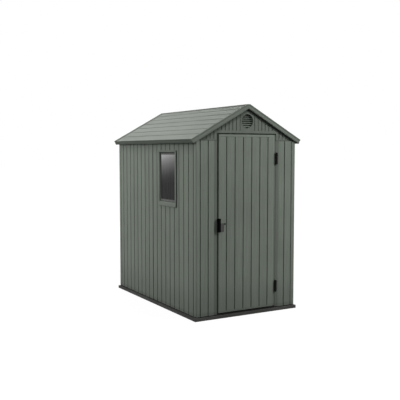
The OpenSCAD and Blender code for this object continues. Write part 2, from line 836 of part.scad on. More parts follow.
// Frame half: outer knuckles with the pin through them
module hinge_frame(z) {
    color(black_col) translate([0, 0, z - hinge_len / 2]) {
        difference() {
            union() {
                hinge_plate(doorway_w / 2 - plate_t);
                knuckles([0, 2]);
            }
            knuckle_space([1]);
        }
        translate([axis_x, axis_y, 0]) cylinder(r = pin_r, h = hinge_len);
    }
}

// Door half: middle knuckle with the bore for the pin
module hinge_door(z) {
    color(black_col) translate([0, 0, z - hinge_len / 2]) difference() {
        union() {
            hinge_plate(leaf_right);
            knuckles([1]);
        }
        knuckle_space([0, 2]);
        translate([axis_x, axis_y, -over])
            cylinder(r = pin_r + pin_fit, h = hinge_len + 2 * over);
    }
}

module hinge_upper_frame() { hinge_frame(hinge_hi); }
module hinge_lower_frame() { hinge_frame(hinge_lo); }
module hinge_upper_door() { hinge_door(hinge_hi); }
module hinge_lower_door() { hinge_door(hinge_lo); }

floor_front();
floor_rear();
corner_front_left();
corner_front_right();
corner_rear_left();
corner_rear_right();
wall_left_front();
wall_left_rear();
wall_right_front();
wall_right_rear();
wall_rear_left();
wall_rear_right();
wall_front_left();
wall_front_right();
jamb_left();
jamb_right();
door_stops();
door_head();
threshold();
gable_front();
gable_rear();
vent_front();
vent_rear();
eave_rail_left();
eave_rail_right();
roof_left();
roof_right();
ridge_cap();
ridge_beam();
fascia_left();
fascia_right();
barge_front_left();
barge_front_right();
barge_rear_left();
barge_rear_right();
window_frame();
window_pane();
hinge_upper_frame();
hinge_lower_frame();
door_leaf();
door_handle();
lock_plate();
key_cylinder();
hinge_upper_door();
hinge_lower_door();
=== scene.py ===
"""Resin garden shed: materials, small fittings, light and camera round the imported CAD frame.
Metres, in the frame's own axes: +X right along the front, +Y to the back, +Z up."""

from collections import namedtuple
import math

import bmesh
import bpy
from mathutils import Matrix, Vector


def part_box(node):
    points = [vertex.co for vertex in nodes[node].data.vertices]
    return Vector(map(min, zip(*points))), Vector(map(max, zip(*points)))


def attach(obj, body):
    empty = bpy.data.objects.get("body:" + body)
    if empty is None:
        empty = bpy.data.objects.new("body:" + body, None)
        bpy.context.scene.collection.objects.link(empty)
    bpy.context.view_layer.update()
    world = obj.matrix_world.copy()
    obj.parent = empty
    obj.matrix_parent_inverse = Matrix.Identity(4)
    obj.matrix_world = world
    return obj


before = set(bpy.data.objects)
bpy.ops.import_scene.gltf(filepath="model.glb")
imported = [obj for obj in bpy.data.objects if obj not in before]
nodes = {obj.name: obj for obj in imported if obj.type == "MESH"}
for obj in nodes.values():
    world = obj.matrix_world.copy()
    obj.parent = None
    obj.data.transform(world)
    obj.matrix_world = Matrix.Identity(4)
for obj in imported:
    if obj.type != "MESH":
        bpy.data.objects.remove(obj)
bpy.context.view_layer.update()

X, Y, Z = 0, 1, 2
MM = 0.001
LEFT, RIGHT = Vector((-1.0, 0.0, 0.0)), Vector((1.0, 0.0, 0.0))
FRONT, BACK = Vector((0.0, -1.0, 0.0)), Vector((0.0, 1.0, 0.0))
DOWN, UP = Vector((0.0, 0.0, -1.0)), Vector((0.0, 0.0, 1.0))

# Places that come from the frame
corner_low, corner_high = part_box("corner_front_left")
side_low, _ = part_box("wall_left_front")
gable_low, gable_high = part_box("gable_front")
leaf_low, leaf_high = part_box("door_leaf")
window_low, window_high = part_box("window_frame")
roof_low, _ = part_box("roof_left")
wall_x = -corner_low.x
wall_y = -corner_low.y
wall_top = corner_high.z
deck_z = side_low.z
gable_y = -gable_low.y
gable_top = gable_high.z
jamb_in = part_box("jamb_right")[0].x

# The roof's pitch, and how far one of its boards rises
ROOF_PITCH = math.radians(28.8)
ROOF_BOARD = 100.4 * MM * math.sin(ROOF_PITCH)
# The other moulded panels: how wide their boards are, and where one starts
SIDE_BOARD = 96.7 * MM
SIDE_SEAM = 9 * MM
FRONT_BOARD = 86 * MM
FRONT_START = -443 * MM
REAR_BOARD = 96 * MM
REAR_SEAM = 0.0
GABLE_BOARD = 42 * MM
DOOR_BOARD = 96 * MM
# How deep their grooves are
GROOVE = 7 * MM
SIDE_GROOVE = 0.55 * GROOVE
GABLE_GROOVE = 4.5 * MM
# How thick a wall is
WALL_T = 18 * MM
# How wide the window's surround is, and how far the window's frame stands out from the wall
SURROUND_SIDE = 10 * MM
SURROUND_TOP = 14 * MM
SURROUND_SILL = 40 * MM
FRAME_OUT = 1 * MM
# Moulded edges: how wide they are rounded, and from what angle between faces
EDGE = 1.2 * MM
ROUND_ANGLE = math.radians(50)
# Before that, points this close become one, and so do faces this near to flat
SAME_POINT = 0.02 * MM
FLAT_ANGLE = math.radians(0.3)
# From what angle an edge stays sharp in the shading
SHARP_ANGLE = math.radians(32)
# Screw heads: radius and height
HINGE_SCREW = (3.6 * MM, 0.6 * MM)
BRACKET_SCREW = (5 * MM, 3 * MM)
PANEL_SCREW = (4.5 * MM, 2 * MM)
FLOOR_SCREW = (5 * MM, 1.8 * MM)
SILL_SCREW = (3.5 * MM, 1.2 * MM)
PLATE_SCREW = (5 * MM, 2.2 * MM)

# Colours, linear
WHITE = (1.0, 1.0, 1.0, 1.0)
RESIN = (0.180, 0.207, 0.175)
# Painted light: the cove's resin paler than the walls', on a face turned away from the key lamp
COVE = tuple(1.15 * c for c in RESIN)
# The roof's resin a little paler and greyer than the walls': its own greyer tone, and painted
# light on the top of the shed
ROOF = (0.192, 0.213, 0.186)
# Painted shade: the gables' resin darker than the walls', for the shade under the roof's overhang
GABLE = (0.140, 0.160, 0.136)
TRIM = (0.150, 0.172, 0.146)
# Painted shade: the ridge cap darker than the other trim, for the dark line along the ridge
RIDGE = tuple(0.78 * c for c in TRIM)
# Painted shade: the fascia much darker than the other trim, for the shade on its downward face
FASCIA = (0.072, 0.084, 0.069)
JAMB = (0.130, 0.148, 0.126)
# Painted shade: the vents darker than the gables, for the barge boards' shade over them
VENT = (0.122, 0.140, 0.119)
CHARCOAL = (0.060, 0.062, 0.058)
SCUFF = (0.11, 0.11, 0.10)
DARK_FRAME = (0.072, 0.072, 0.068)
WINDOW_FRAME = (0.115, 0.120, 0.112)
# Painted shade: a dark line round the outside of the window's surround
WINDOW_SHADE_LINE = (0.060, 0.064, 0.058)
# Dark grey of the door's seal bead: its own colour, and also painted shade in the door's gaps
DOOR_SEAL_AND_SHADE = (0.080, 0.086, 0.077)
# Near-black: painted shade in gaps and on strips, and the door's foot seal
SHADE_BLACK = (0.010, 0.010, 0.010)
BLACK = (0.0025, 0.0025, 0.0025)
COATED_SCREW = (0.012, 0.012, 0.012)
WIRE = (0.020, 0.021, 0.020)
ZINC = (0.42, 0.44, 0.45)
# Painted reflection on the window's pane: its grey by height, as shares of the pane from its foot
# up
PANE_FADE = (
    (0.0, 0.029), (0.33, 0.030), (0.44, 0.039), (0.55, 0.062),
    (0.66, 0.108), (0.77, 0.175), (0.88, 0.275), (1.0, 0.47),
)
# Shares of a resin's own colour: its darkest and palest grain, its painted shade and dirt, and its
# seams
GRAIN_DARK, GRAIN_PALE = 0.86, 1.12
SHADE_AND_DIRT, SEAM = 0.15, 0.05
# Where a groove's painted shade and dirt starts, and where it is full, as shares of the depth
SHADE_DIRT_START, SHADE_DIRT_FULL = 0.15, 0.75

# The studio. Lamps: name, watts, width, place
LAMPS = (
    ("soft_left", 152.0, 3.0, (-4.8, 1.9, 3.0)),
    ("key_right", 388.0, 2.0, (4.4, -5.5, 5.2)),
    ("soft_front", 52.0, 2.0, (-2.0, -3.5, 5.5)),
    ("soft_back", 200.0, 4.0, (2.5, 7.0, 3.4)),
)
LAMP_AIM = (0.0, 0.0, 1.1)
# How bright the dome is at the horizon and overhead
DOME_LOW, DOME_HIGH = 0.12, 0.62
# The floor: half its width, its colour in light, and its glow by the object, which rises to
# white between two distances
FLOOR_HALF = 60.0
FLOOR = (0.10, 0.10, 0.10)
GLOW_NEAR, GLOW_START, GLOW_END = 0.925, 2.0, 9.0
# The camera: its place, the degrees that it looks down and to the right, and its sensor and lens
CAMERA_PLACE = (-3.6214, -6.3147, 1.6046)
CAMERA_DOWN, CAMERA_TURN = 4.1885, 29.742
SENSOR, LENS = 36.0, 60.17

# What resin() is told of a panel.
# Boards: the axis that they lie side by side along, where one starts, and their width
Boards = namedtuple("Boards", "axis start width")
# Grooves between them: the axis that they are cut along, the face's place on it, their depth,
# how much painted shade and dirt they hold, and how far out along the boards' axis there are any
Grooves = namedtuple("Grooves", "axis face depth dirt reach", defaults=(1.0,))
# Painted shade (in the roof's grooves, with dirt), which thickens from start to full along the
# weighted sum of X, Y and Z
ShadeFilm = namedtuple("ShadeFilm", "weights start full amount")


class Graph:
    """A shader node tree, with short calls that add a node and give its output."""

    def __init__(self, tree):
        self.tree = tree

    def set(self, socket, value):
        """Links value to the socket if it is an output, and otherwise sets it."""
        if isinstance(value, bpy.types.NodeSocket):
            self.tree.links.new(value, socket)
        else:
            socket.default_value = value

    def add(self, kind, settings=(), **inputs):
        """A new node. Inputs are named with _ for a space, or _0, _1 by their place."""
        node = self.tree.nodes.new("ShaderNode" + kind)
        for key, value in dict(settings).items():
            setattr(node, key, value)
        for key, value in inputs.items():
            socket = int(key[1:]) if key[0] == "_" else key.replace("_", " ")
            self.set(node.inputs[socket], value)
        return node

    def place(self):
        """The piece's own coordinates, which are the frame's at rest."""
        return self.add("TexCoord").outputs["Object"]

    def looked_at(self):
        """1 for what the camera sees, also in metal or through glass, and 0 for light."""
        path = self.add("LightPath").outputs
        through = self.math("MAXIMUM", path["Is Glossy Ray"], path["Is Transmission Ray"])
        return self.math("MAXIMUM", path["Is Camera Ray"], through)

    def split(self, vector):
        node = self.add("SeparateXYZ", _0=vector)
        return [node.outputs[axis] for axis in (X, Y, Z)]

    def math(self, operation, a, b=0.0, clamp=False):
        settings = {"operation": operation, "use_clamp": clamp}
        return self.add("Math", settings, _0=a, _1=b).outputs[0]

    def plus(self, first, *others):
        total = first
        for other in others:
            total = self.math("ADD", total, other)
        return total

    def minus(self, a, b):
        return self.math("SUBTRACT", a, b)

    def times(self, a, b):
        return self.math("MULTIPLY", a, b)

    def away(self, a, b=0.0):
        """How far a is from b, on either side."""
        return self.math("ABSOLUTE", self.minus(a, b))

    def vector(self, operation, a, b=(0.0, 0.0, 0.0)):
        """A vector, or a number for DOT_PRODUCT and LENGTH."""
        node = self.add("VectorMath", {"operation": operation}, _0=a, _1=b)
        return node.outputs["Value" if operation in ("DOT_PRODUCT", "LENGTH") else "Vector"]

    def scaled(self, vector, scale):
        return self.vector("MULTIPLY", vector, scale)

    def remap(self, value, low, high, new_low=0.0, new_high=1.0):
        """value from low..high to new_low..new_high, smoothly and held at the ends."""
        node = self.add(
            "MapRange", {"interpolation_type": "SMOOTHSTEP"},
            _0=value, _1=low, _2=high, _3=new_low, _4=new_high,
        )
        return node.outputs[0]

    def noise(self, vector, scale, detail=2.0, roughness=0.5, distortion=0.0):
        node = self.add(
            "TexNoise", Vector=vector, Scale=scale, Detail=detail,
            Roughness=roughness, Distortion=distortion,
        )
        return node.outputs["Fac"]

    def mix(self, amount, a, b):
        node = self.add("Mix", {"data_type": "RGBA"}, _0=amount, _6=a, _7=b)
        return node.outputs[2]


class Material(Graph):
    """The graph of a new material, round its Principled shader."""

    def __init__(self, name):
        self.material = bpy.data.materials.new(name)
        self.material.use_nodes = True
        super().__init__(self.material.node_tree)
        self.shader = self.tree.nodes["Principled BSDF"]

    def finish(self, **sockets):
        """Sets or links the shader's own sockets, named with _ for a space."""
        for key, value in sockets.items():
            self.set(self.shader.inputs[key.replace("_", " ")], value)

    def bump(self, height, distance, strength=0.5):
        node = self.add("Bump", Height=height, Distance=distance, Strength=strength)
        self.finish(Normal=node.outputs[0])


def rgba(colour, factor=1.0):
    return tuple(min(1.0, c * factor) for c in colour) + (1.0,)


def board_values(g, axes, boards):
    """A random tone for each board, from 0 to 1, and a shift for grain of its own."""
    if not boards:
        return 0.5, 0.0
    from_start = g.minus(axes[boards.axis], boards.start)
    number = g.math("FLOOR", g.math("DIVIDE", from_start, boards.width))
    tone = g.add("TexWhiteNoise", {"noise_dimensions": "1D"}, W=number).outputs["Value"]
    return tone, g.times(tone, 7.0)


def grain_vector(g, place, along, shift):
    """Coordinates squeezed along the grain and moved by each board's shift."""
    scale = [1.0, 1.0, 1.0]
    scale[along] = 0.03
    offset = g.add("CombineXYZ", _0=shift, _1=shift, _2=shift).outputs[0]
    return g.vector("ADD", g.scaled(place, scale), offset)


def groove_shade_and_dirt(g, axes, boards, grooves):
    """Painted shade and dirt in the grooves, which thicken with the depth below the panel's face.
    """
    below = g.minus(grooves.face, g.away(axes[grooves.axis]))
    in_reach = g.math("LESS_THAN", g.away(axes[boards.axis]), grooves.reach)
    filled = g.remap(below, SHADE_DIRT_START * grooves.depth, SHADE_DIRT_FULL * grooves.depth)
    return g.times(filled, g.times(in_reach, grooves.dirt))


def low_darkening(g, place, height):
    """Darker up to 0.3 m over the deck in a ragged band, and darker still close to it."""
    ragged = g.times(g.noise(place, 9.0, detail=4.0, roughness=0.6), 0.12)
    ragged_band = g.remap(g.minus(height, ragged), deck_z - 0.04, deck_z + 0.30, 0.28, 0.0)
    foot = g.remap(height, deck_z + 0.012, deck_z + 0.075, 0.50, 0.0)
    return g.math("MAXIMUM", ragged_band, foot)


def resin(name, colour, along, boards=None, grooves=None, seam=None, slope=0.0, darken_low=True,
          shade_films=()):
    """Embossed resin with wood grain along an axis.
    boards: gives each a tone and grain of its own. seam: where two panels meet on the boards'
    axis, for a dark line. slope: turns the grain about Y, for a piece that follows the roof."""
    g = Material(name)
    place = g.place()
    grain_place = place
    if slope:
        turned = g.add("VectorRotate", {"rotation_type": "Y_AXIS"}, Vector=place, Angle=slope)
        grain_place = turned.outputs[0]
    axes = g.split(place)
    board_tone, shift = board_values(g, axes, boards)
    grain = grain_vector(g, grain_place, along, shift)
    fibres = g.noise(grain, 420.0, detail=3.0, roughness=0.65)
    figure = g.noise(grain, 70.0, distortion=0.8)
    cloud = g.noise(place, 2.3, detail=3.0, roughness=0.55)
    tone = g.plus(
        g.times(fibres, 0.34), g.times(figure, 0.34),
        g.times(cloud, 0.26), g.times(board_tone, 0.06),
    )
    shade = g.mix(
        g.remap(tone, 0.32, 0.68), rgba(colour, GRAIN_DARK), rgba(colour, GRAIN_PALE)
    )
    rough = g.plus(g.times(fibres, 0.16), 0.50)
    # Painted shade and dirt in the grooves
    if grooves:
        dirt = groove_shade_and_dirt(g, axes, boards, grooves)
        shade = g.mix(dirt, shade, rgba(colour, SHADE_AND_DIRT))
        rough = g.math("ADD", rough, g.times(dirt, 0.25), clamp=True)
    if seam is not None:
        line = g.remap(g.away(axes[boards.axis], seam), 5 * MM, 9 * MM, 0.95, 0.0)
        shade = g.mix(line, shade, rgba(colour, SEAM))
    # Painted shade, from each shade film
    for shade_film in shade_films:
        level = g.vector("DOT_PRODUCT", place, shade_film.weights)
        thick = g.remap(level, shade_film.start, shade_film.full, 0.0, shade_film.amount)
        shade = g.mix(thick, shade, rgba(colour, SHADE_AND_DIRT))
    # Darker toward the deck
    if darken_low:
        shade = g.mix(low_darkening(g, place, axes[Z]), shade, rgba(CHARCOAL))
    g.finish(Base_Color=shade, Roughness=rough, Specular_IOR_Level=0.08)
    g.bump(g.plus(g.times(fibres, 0.6), figure), 0.35 * MM)
    return g.material


def charcoal(name):
    """Dark floor resin: a pebbled skin with pale scuffs, and painted shade, near-black, in the gap
    at the walls.
    """
    g = Material(name)
    place = g.place()
    pebble = g.noise(place, 650.0)
    scuff = g.noise(g.scaled(place, (1.0, 1.0, 3.0)), 22.0, detail=5.0, roughness=0.65)
    cloud = g.noise(place, 3.0, detail=3.0)
    base = g.mix(g.remap(cloud, 0.35, 0.65), rgba(CHARCOAL, 0.85), rgba(CHARCOAL, 1.15))
    worn = g.mix(g.remap(scuff, 0.56, 0.74, 0.0, 0.30), base, rgba(SCUFF))
    axes = g.split(place)
    # Painted shade: black on the deck from just inside the walls' face, and gone 6 mm outside it
    past_walls = g.math(
        "MAXIMUM", g.minus(g.away(axes[X]), wall_x), g.minus(g.away(axes[Y]), wall_y)
    )
    on_top = g.math("GREATER_THAN", axes[Z], deck_z - 8.5 * MM)
    from_inside = g.remap(past_walls, -12 * MM, -8 * MM)
    fading = g.remap(past_walls, 0.5 * MM, 6 * MM, 0.9, 0.0)
    gap = g.times(g.times(on_top, from_inside), fading)
    g.finish(
        Base_Color=g.mix(gap, worn, rgba(SHADE_BLACK, 0.5)),
        Roughness=g.remap(scuff, 0.3, 0.7, 0.60, 0.78), Specular_IOR_Level=0.10,
    )
    g.bump(pebble, 0.25 * MM)
    return g.material


def satin(name, colour, rough, gloss=0.2, grain=900.0, depth=0.08 * MM):
    """Smooth moulded plastic or powder coat: fine texture and faint flow marks."""
    g = Material(name)
    place = g.place()
    skin = g.noise(place, grain, roughness=0.6)
    flow = g.noise(
        g.scaled(place, (1.0, 1.0, 0.35)), 26.0, detail=3.0, roughness=0.6, distortion=0.4
    )
    g.finish(
        Base_Color=g.mix(g.remap(flow, 0.3, 0.7), rgba(colour, 0.85), rgba(colour, 1.2)),
        Roughness=g.remap(flow, 0.25, 0.75, rough - 0.07, rough + 0.1),
        Specular_IOR_Level=gloss,
    )
    g.bump(skin, depth)
    return g.material


def soft_rubber(name, colour, rough=0.7, gloss=0.04):
    """Matt rubber for seals and for strips of painted shade, with a coarser skin than hard plastic
    has.
    """
    return satin(name, colour, rough, gloss, grain=500.0, depth=0.15 * MM)


def galvanised(name):
    """Zinc-coated steel with spangle and dull streaks."""
    g = Material(name)
    place = g.place()
    cells = g.add("TexVoronoi", Vector=place, Scale=70.0, Randomness=1.0)
    spangle = g.split(cells.outputs["Color"])[X]
    streak = g.noise(g.scaled(place, (1.0, 0.05, 1.0)), 160.0, detail=3.0)
    tone = g.plus(g.times(spangle, 0.6), g.times(streak, 0.4))
    g.finish(
        Base_Color=g.mix(tone, rgba(ZINC, 0.75), rgba(ZINC, 1.15)),
        Roughness=g.remap(tone, 0.2, 0.8, 0.36, 0.56), Metallic=1.0,
    )
    g.bump(streak, 0.05 * MM)
    return g.material


def window_sheet(name):
    """Tinted plastic sheet with a painted reflection: pale at the top, clearing to dark below."""
    g = Material(name)
    place = g.place()
    low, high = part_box("window_pane")
    axes = g.split(place)
    streaks = g.noise(g.scaled(place, (1.0, 1.0, 0.02)), 190.0, detail=3.0, roughness=0.6)
    cloud = g.noise(place, 14.0, detail=3.0, roughness=0.55)
    # The share of the pane's height, which wavers and drifts up toward the rear
    level = g.plus(
        g.math("DIVIDE", g.minus(axes[Z], low.z), high.z - low.z),
        g.times(g.minus(cloud, 0.5), 0.05),
        g.times(g.minus(streaks, 0.5), 0.10),
        g.times(g.minus(axes[Y], low.y), 0.40),
        -0.07,
    )
    ramp = g.add("ValToRGB", Fac=level)
    stops = ramp.color_ramp.elements
    for stop, (share, tone) in zip(stops, (PANE_FADE[0], PANE_FADE[-1])):
        stop.position, stop.color = share, rgba((tone,) * 3)
    for share, tone in PANE_FADE[1:-1]:
        stops.new(share).color = rgba((tone,) * 3)
    g.finish(
        Base_Color=ramp.outputs["Color"], Roughness=g.remap(streaks, 0.3, 0.7, 0.22, 0.34),
        Specular_IOR_Level=0.02,
    )
    g.bump(streaks, 0.04 * MM, 0.4)
    return g.material


def edge_angle_group(limit):
    """A geometry group that shades faces smooth, and edges of more than an angle sharp."""
    tree = bpy.data.node_groups.new("SmoothByAngle", "GeometryNodeTree")
    tree.interface.new_socket("Geometry", in_out="INPUT", socket_type="NodeSocketGeometry")
    tree.interface.new_socket("Geometry", in_out="OUTPUT", socket_type="NodeSocketGeometry")
    start = tree.nodes.new("NodeGroupInput")
    end = tree.nodes.new("NodeGroupOutput")
    faces = tree.nodes.new("GeometryNodeSetShadeSmooth")
    edges = tree.nodes.new("GeometryNodeSetShadeSmooth")
    edges.domain = "EDGE"
    edges.inputs["Shade Smooth"].default_value = False
    angle = tree.nodes.new("GeometryNodeInputMeshEdgeAngle")
    compare = tree.nodes.new("FunctionNodeCompare")
    compare.operation = "GREATER_THAN"
    compare.inputs[1].default_value = limit
    tree.links.new(angle.outputs["Unsigned Angle"], compare.inputs[0])
    tree.links.new(compare.outputs[0], edges.inputs["Selection"])
    tree.links.new(start.outputs[0], faces.inputs["Geometry"])
    tree.links.new(faces.outputs[0], edges.inputs["Geometry"])
    tree.links.new(edges.outputs[0], end.inputs[0])
    return tree


SMOOTH = edge_angle_group(SHARP_ANGLE)


def shade_smooth(piece):
    piece.modifiers.new("Smooth", "NODES").node_group = SMOOTH


def round_edges(piece, width):
    """Moulded edge radii and clean shading, as modifiers."""
    mesh = piece.data
    if "custom_normal" in mesh.attributes:
        mesh.attributes.remove(mesh.attributes["custom_normal"])
    weld = piece.modifiers.new("Weld", "WELD")
    weld.merge_threshold = SAME_POINT
    flat = piece.modifiers.new("Flat", "DECIMATE")
    flat.decimate_type = "DISSOLVE"
    flat.angle_limit = FLAT_ANGLE
    bevel = piece.modifiers.new("Edges", "BEVEL")
    bevel.width = width
    bevel.segments = 2
    bevel.limit_method = "ANGLE"
    bevel.angle_limit = ROUND_ANGLE
    bevel.use_clamp_overlap = True
    shade_smooth(piece)
    piece.modifiers.new("Normals", "WEIGHTED_NORMAL").keep_sharp = True


def dress(names, material, edge=EDGE):
    """Gives CAD nodes their material and rounded edges."""
    for name in names:
        piece = nodes[name]
        piece.data.materials.clear()
        piece.data.materials.append(material)
        if edge:
            round_edges(piece, edge)


def dress_walls():
    # Painted shade under the eaves, at the top of the side walls
    under_eaves = ShadeFilm(UP, start=wall_top - 0.15, full=wall_top, amount=0.32)
    side = resin(
        "resin_side", RESIN, Z, Boards(Y, SIDE_SEAM, SIDE_BOARD),
        Grooves(X, wall_x, SIDE_GROOVE, dirt=1.0), seam=SIDE_SEAM, shade_films=[under_eaves],
    )
    dress(
        ["wall_left_front", "wall_left_rear", "wall_right_front", "wall_right_rear"], side
    )
    front = resin(
        "resin_front", RESIN, Z, Boards(X, FRONT_START, FRONT_BOARD),
        Grooves(Y, wall_y, GROOVE, dirt=0.55),
    )
    dress(["wall_front_left", "wall_front_right"], front)
    rear = resin(
        "resin_rear", RESIN, Z, Boards(X, REAR_SEAM, REAR_BOARD),
        Grooves(Y, wall_y, GROOVE, dirt=0.6), seam=REAR_SEAM,
    )
    dress(["wall_rear_left", "wall_rear_right"], rear)
    # Painted shade under the left barge boards, on the gables: the same level all along the roof's
    # left slope
    left_slope = Vector((-math.tan(ROOF_PITCH), 0.0, 1.0))
    under_barge = ShadeFilm(
        left_slope, start=gable_top - 0.075, full=gable_top - 0.03, amount=0.55
    )
    gable = resin(
        "resin_gable", GABLE, Z, Boards(X, 0.0, GABLE_BOARD),
        Grooves(Y, gable_y, GABLE_GROOVE, dirt=0.35), shade_films=[under_barge],
    )
    dress(["gable_front", "gable_rear"], gable)
    dress(
        ["corner_front_left", "corner_front_right", "corner_rear_left", "corner_rear_right"],
        resin("resin_post", RESIN, Z),
    )
    dress(["jamb_left", "jamb_right", "door_stops"], resin("resin_jamb", JAMB, Z))
    dress(["vent_front", "vent_rear"], satin("vent_resin", VENT, rough=0.55), edge=0.6 * MM)


def dress_door():
    # Painted shade on the door's lowered strip by the hinges
    hinge_side = ShadeFilm(
        RIGHT, start=leaf_high.x - 22 * MM, full=leaf_high.x - 16 * MM, amount=0.32
    )
    leaf = resin(
        "resin_door", RESIN, Z, Boards(X, DOOR_BOARD / 2, DOOR_BOARD),
        Grooves(Y, wall_y, GROOVE, dirt=0.55, reach=0.26), shade_films=[hinge_side],
    )
    dress(["door_leaf"], leaf)
    grip = satin("black_grip", BLACK, rough=0.5, gloss=0.015)
    dress(["door_handle"], grip, edge=2 * MM)
    dress(["lock_plate"], satin("lock_resin", DARK_FRAME, rough=0.5), edge=0.8 * MM)
    cylinder = satin("key_cylinder", BLACK, rough=0.35, gloss=0.15)
    dress(["key_cylinder"], cylinder, edge=0.6 * MM)
    dress(
        ["hinge_upper_frame", "hinge_lower_frame", "hinge_upper_door", "hinge_lower_door"],
        satin("hinge_coat", BLACK, rough=0.48, gloss=0.10), edge=0.5 * MM,
    )


def dress_roof():
    for name, side in (("roof_left", -1), ("roof_right", 1)):
        # Painted shade and dirt in the grooves, measured square to the slope so that it lies in
        # them
        rise = Vector((side * math.sin(ROOF_PITCH), 0.0, math.cos(ROOF_PITCH)))
        low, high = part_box(name)
        face = rise.z * high.z + rise.x * (high.x if side < 0 else low.x)
        grooves = ShadeFilm(
            rise, start=face - SHADE_DIRT_START * GROOVE, full=face - SHADE_DIRT_FULL * GROOVE, amount=0.5
        )
        roof = resin(
            "resin_" + name, ROOF, Y, Boards(Z, roof_low.z, ROOF_BOARD), darken_low=False,
            shade_films=[grooves],
        )
        dress([name], roof)
    dress(["ridge_cap"], resin("trim_ridge", RIDGE, Y, darken_low=False))
    dress(["eave_rail_left", "eave_rail_right"], resin("trim_along", TRIM, Y, darken_low=False))
    dress(["fascia_left", "fascia_right"], resin("trim_fascia", FASCIA, Y, darken_low=False))
    for hand, slope in (("left", ROOF_PITCH), ("right", -ROOF_PITCH)):
        barge = resin("trim_barge_" + hand, TRIM, X, slope=slope, darken_low=False)
        dress(["barge_front_" + hand, "barge_rear_" + hand], barge)
    dress(["door_head"], resin("trim_head", TRIM, X, darken_low=False))
    dress(["ridge_beam"], galvanised("zinc"), edge=1 * MM)


def dress_floor():
    dress(["floor_front", "floor_rear", "threshold"], charcoal("charcoal"))


def dress_window():
    dress(["window_frame"], satin("frame_resin", WINDOW_FRAME, rough=0.5, gloss=0.1))
    dress(["window_pane"], window_sheet("pane_sheet"), edge=0)


def new_piece(name, bm, body, material, edge=0.0):
    """Makes a piece that moves with a body, in the given material."""
    bmesh.ops.recalc_face_normals(bm, faces=bm.faces)
    mesh = bpy.data.meshes.new(name)
    bm.to_mesh(mesh)
    bm.free()
    mesh.materials.append(material)
    item = bpy.data.objects.new(name, mesh)
    bpy.context.scene.collection.objects.link(item)
    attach(item, body)
    if edge:
        round_edges(item, edge)
    else:
        shade_smooth(item)


def mm(*points):
    """A profile's points, given in millimetres."""
    return [(u * MM, v * MM) for u, v in points]


def sweep(bm, section, path, closed=False):
    """Carries a section of (aside, out) points along a path of (point, aside, out) frames."""
    rings = [
        [bm.verts.new(point + aside * u + out * v) for u, v in section]
        for point, aside, out in path
    ]
    count = len(section)
    joined = list(zip(rings, rings[1:]))
    if closed:
        joined.append((rings[-1], rings[0]))
    else:
        bm.faces.new(rings[0])
        bm.faces.new(rings[-1])
    for a, b in joined:
        for i in range(count):
            j = (i + 1) % count
            bm.faces.new((a[i], a[j], b[j], b[i]))


def lathe(bm, profile, point, direction, steps=20):
    """Turns (radius, height) points about an axis that starts at point."""
    turn = direction.to_track_quat("Z", "Y").to_matrix().to_4x4()
    place = Matrix.Translation(point) @ turn
    rings = []
    for radius, height in profile:
        angles = [2 * math.pi * i / steps for i in range(steps)] if radius else [0.0]
        rings.append([
            bm.verts.new(place @ Vector((radius * math.cos(a), radius * math.sin(a), height)))
            for a in angles
        ])
    for a, b in zip(rings, rings[1:]):
        for i in range(steps):
            j = (i + 1) % steps
            corners = [a[i % len(a)], a[j % len(a)], b[j % len(b)], b[i % len(b)]]
            corners = list(dict.fromkeys(corners))
            if len(corners) > 2:
                bm.faces.new(corners)


def block(bm, xs, ys, zs):
    """A box between two places on each axis, in any order."""
    sides = [sorted(pair) for pair in (xs, ys, zs)]
    middle = [(a + b) / 2 for a, b in sides]
    scale = Matrix.Diagonal([b - a for a, b in sides] + [1.0])
    bmesh.ops.create_cube(bm, size=1.0, matrix=Matrix.Translation(middle) @ scale)


def screw(bm, point, direction, size):
    """A domed screw head with a hexagon socket."""
    radius, height = size
    socket = 0.42 * radius
    dome = [
        (radius, 0.0), (radius, 0.35 * height), (0.86 * radius, 0.75 * height),
        (0.62 * radius, height), (socket, height),
    ]
    lathe(bm, dome, Vector(point), direction)
    hexagon = [(socket, height), (0.40 * radius, 0.25 * height), (0.0, 0.15 * height)]
    lathe(bm, hexagon, Vector(point), direction, steps=6)


def add_gable_seals(black_fill):
    """Painted shade: black strips on the gables, along both slopes under the roof."""
    full, end = wall_x - 33 * MM, wall_x - 2 * MM
    thin = 0.33
    setback = 8 * MM
    section = mm((1, 0), (1, 6), (3, 8.6), (7, 9.6), (11, 8.6), (13, 6), (13, 0))
    across_slope = DOWN / math.cos(ROOF_PITCH)
    for name, side in (("gable_shade_front", -1), ("gable_shade_rear", 1)):
        path = []
        for x, share in ((-end, thin), (-full, 1.0), (0.0, 1.0), (full, 1.0), (end, thin)):
            z = gable_top - abs(x) * math.tan(ROOF_PITCH)
            point = Vector((x, side * (gable_y - setback), z))
            path.append((point, across_slope * share, BACK * side))
        bm = bmesh.new()
        sweep(bm, section, path)
        new_piece(name, bm, "shed", black_fill)


